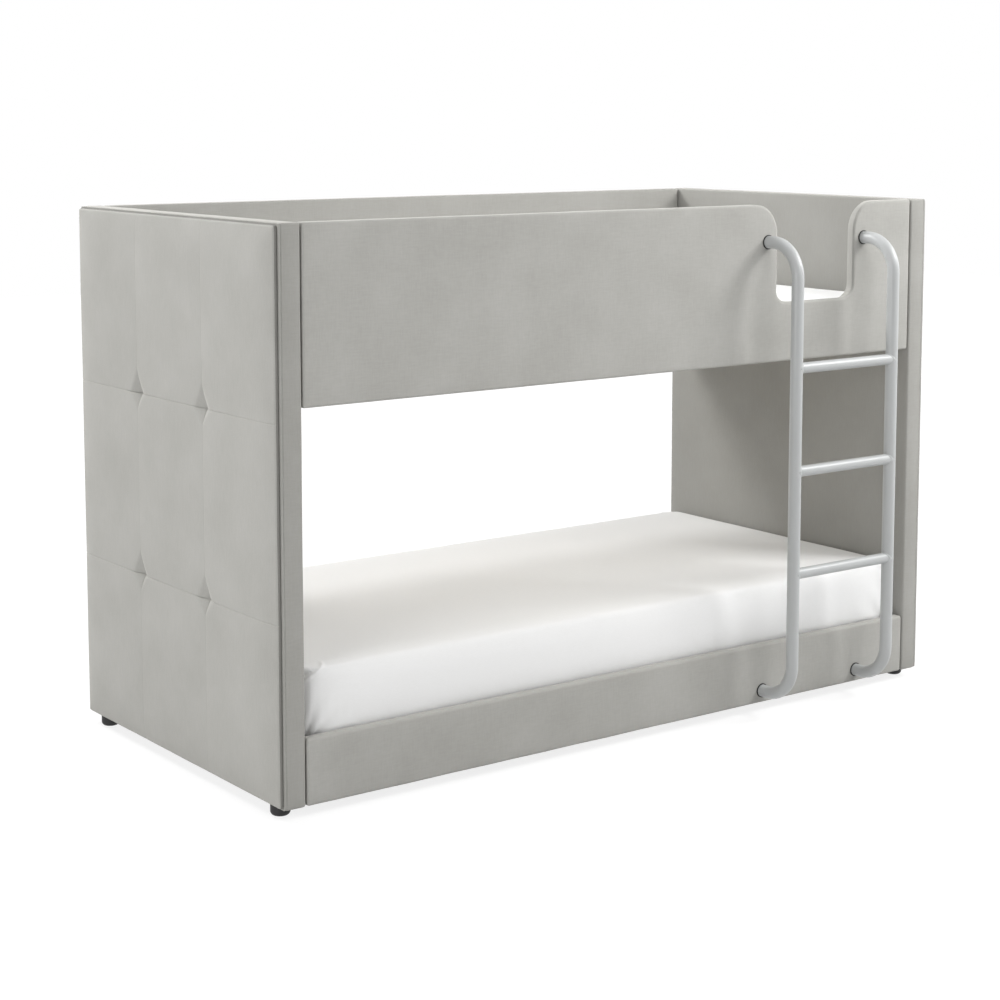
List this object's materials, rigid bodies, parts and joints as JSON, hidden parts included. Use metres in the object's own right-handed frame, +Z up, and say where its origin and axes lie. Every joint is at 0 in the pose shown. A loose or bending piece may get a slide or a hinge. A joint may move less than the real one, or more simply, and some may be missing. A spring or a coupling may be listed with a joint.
{
  "type": "upholstered bunk bed",
  "caption": "Upholstered bunk bed with tufted end panels, padded guards and rails, a bent-tube ladder at a cut-out in the guard, slatted bases and loose mattresses.",
  "frame": {"origin": "on the floor, under the middle of the bounding box of the whole bed, ladder included", "axes": "+X along the bed towards the ladder end, +Y from the ladder side to the rear, +Z up"},
  "size_m": [2.06, 1.102, 1.332],
  "materials": {
    "velvet": "matte",
    "timber": "matte",
    "slat_timber": "matte",
    "board": "matte",
    "zinc_steel": "satin",
    "ladder_enamel": "satin",
    "black_plastic": "matte",
    "mattress_cotton": "matte"
  },
  "bodies": {
    "frame": {"left_end_shell": "velvet", "left_end_stiles": "timber", "left_end_cross_rails": "timber", "left_pad_board": "board", "left_tufted_pad": "velvet", "right_end_shell": "velvet", "right_end_stiles": "timber", "right_end_cross_rails": "timber", "right_pad_board": "board", "right_tufted_pad": "velvet", "front_guard_cover": "velvet", "front_guard_core": "timber", "rear_guard_cover": "velvet", "rear_guard_core": "timber", "lower_front_rail_cover": "velvet", "lower_front_rail_core": "timber", "lower_rear_rail_cover": "velvet", "lower_rear_rail_core": "timber", "upper_front_slat_bearer": "timber", "upper_rear_slat_bearer": "timber", "upper_slats": "slat_timber", "lower_front_slat_bearer": "timber", "lower_rear_slat_bearer": "timber", "lower_slats": "slat_timber", "upper_front_left_bracket": "zinc_steel", "upper_rear_left_bracket": "zinc_steel", "upper_front_right_bracket": "zinc_steel", "upper_rear_right_bracket": "zinc_steel", "upper_bracket_bolts": "zinc_steel", "lower_front_left_bracket": "zinc_steel", "lower_rear_left_bracket": "zinc_steel", "lower_front_right_bracket": "zinc_steel", "lower_rear_right_bracket": "zinc_steel", "lower_bracket_bolts": "zinc_steel", "ladder_left_stringer": "ladder_enamel", "ladder_right_stringer": "ladder_enamel", "ladder_bottom_rung": "ladder_enamel", "ladder_middle_rung": "ladder_enamel", "ladder_top_rung": "ladder_enamel", "ladder_washers": "black_plastic", "ladder_end_plugs": "zinc_steel", "ladder_bolts": "zinc_steel", "front_left_foot": "black_plastic", "rear_left_foot": "black_plastic", "front_right_foot": "black_plastic", "rear_right_foot": "black_plastic", "foot_studs": "zinc_steel"},
    "upper_mattress": {"upper_mattress": "mattress_cotton"},
    "lower_mattress": {"lower_mattress": "mattress_cotton"}
  },
  "joints": [
    {"name": "upper_mattress_lift", "type": "slide", "parent": "frame", "child": "upper_mattress", "axis": [0, 0, 1], "range_m": [0, 0.42]},
    {"name": "lower_mattress_lift", "type": "slide", "parent": "frame", "child": "lower_mattress", "axis": [0, 0, 1], "range_m": [0, 0.5]}
  ]
}
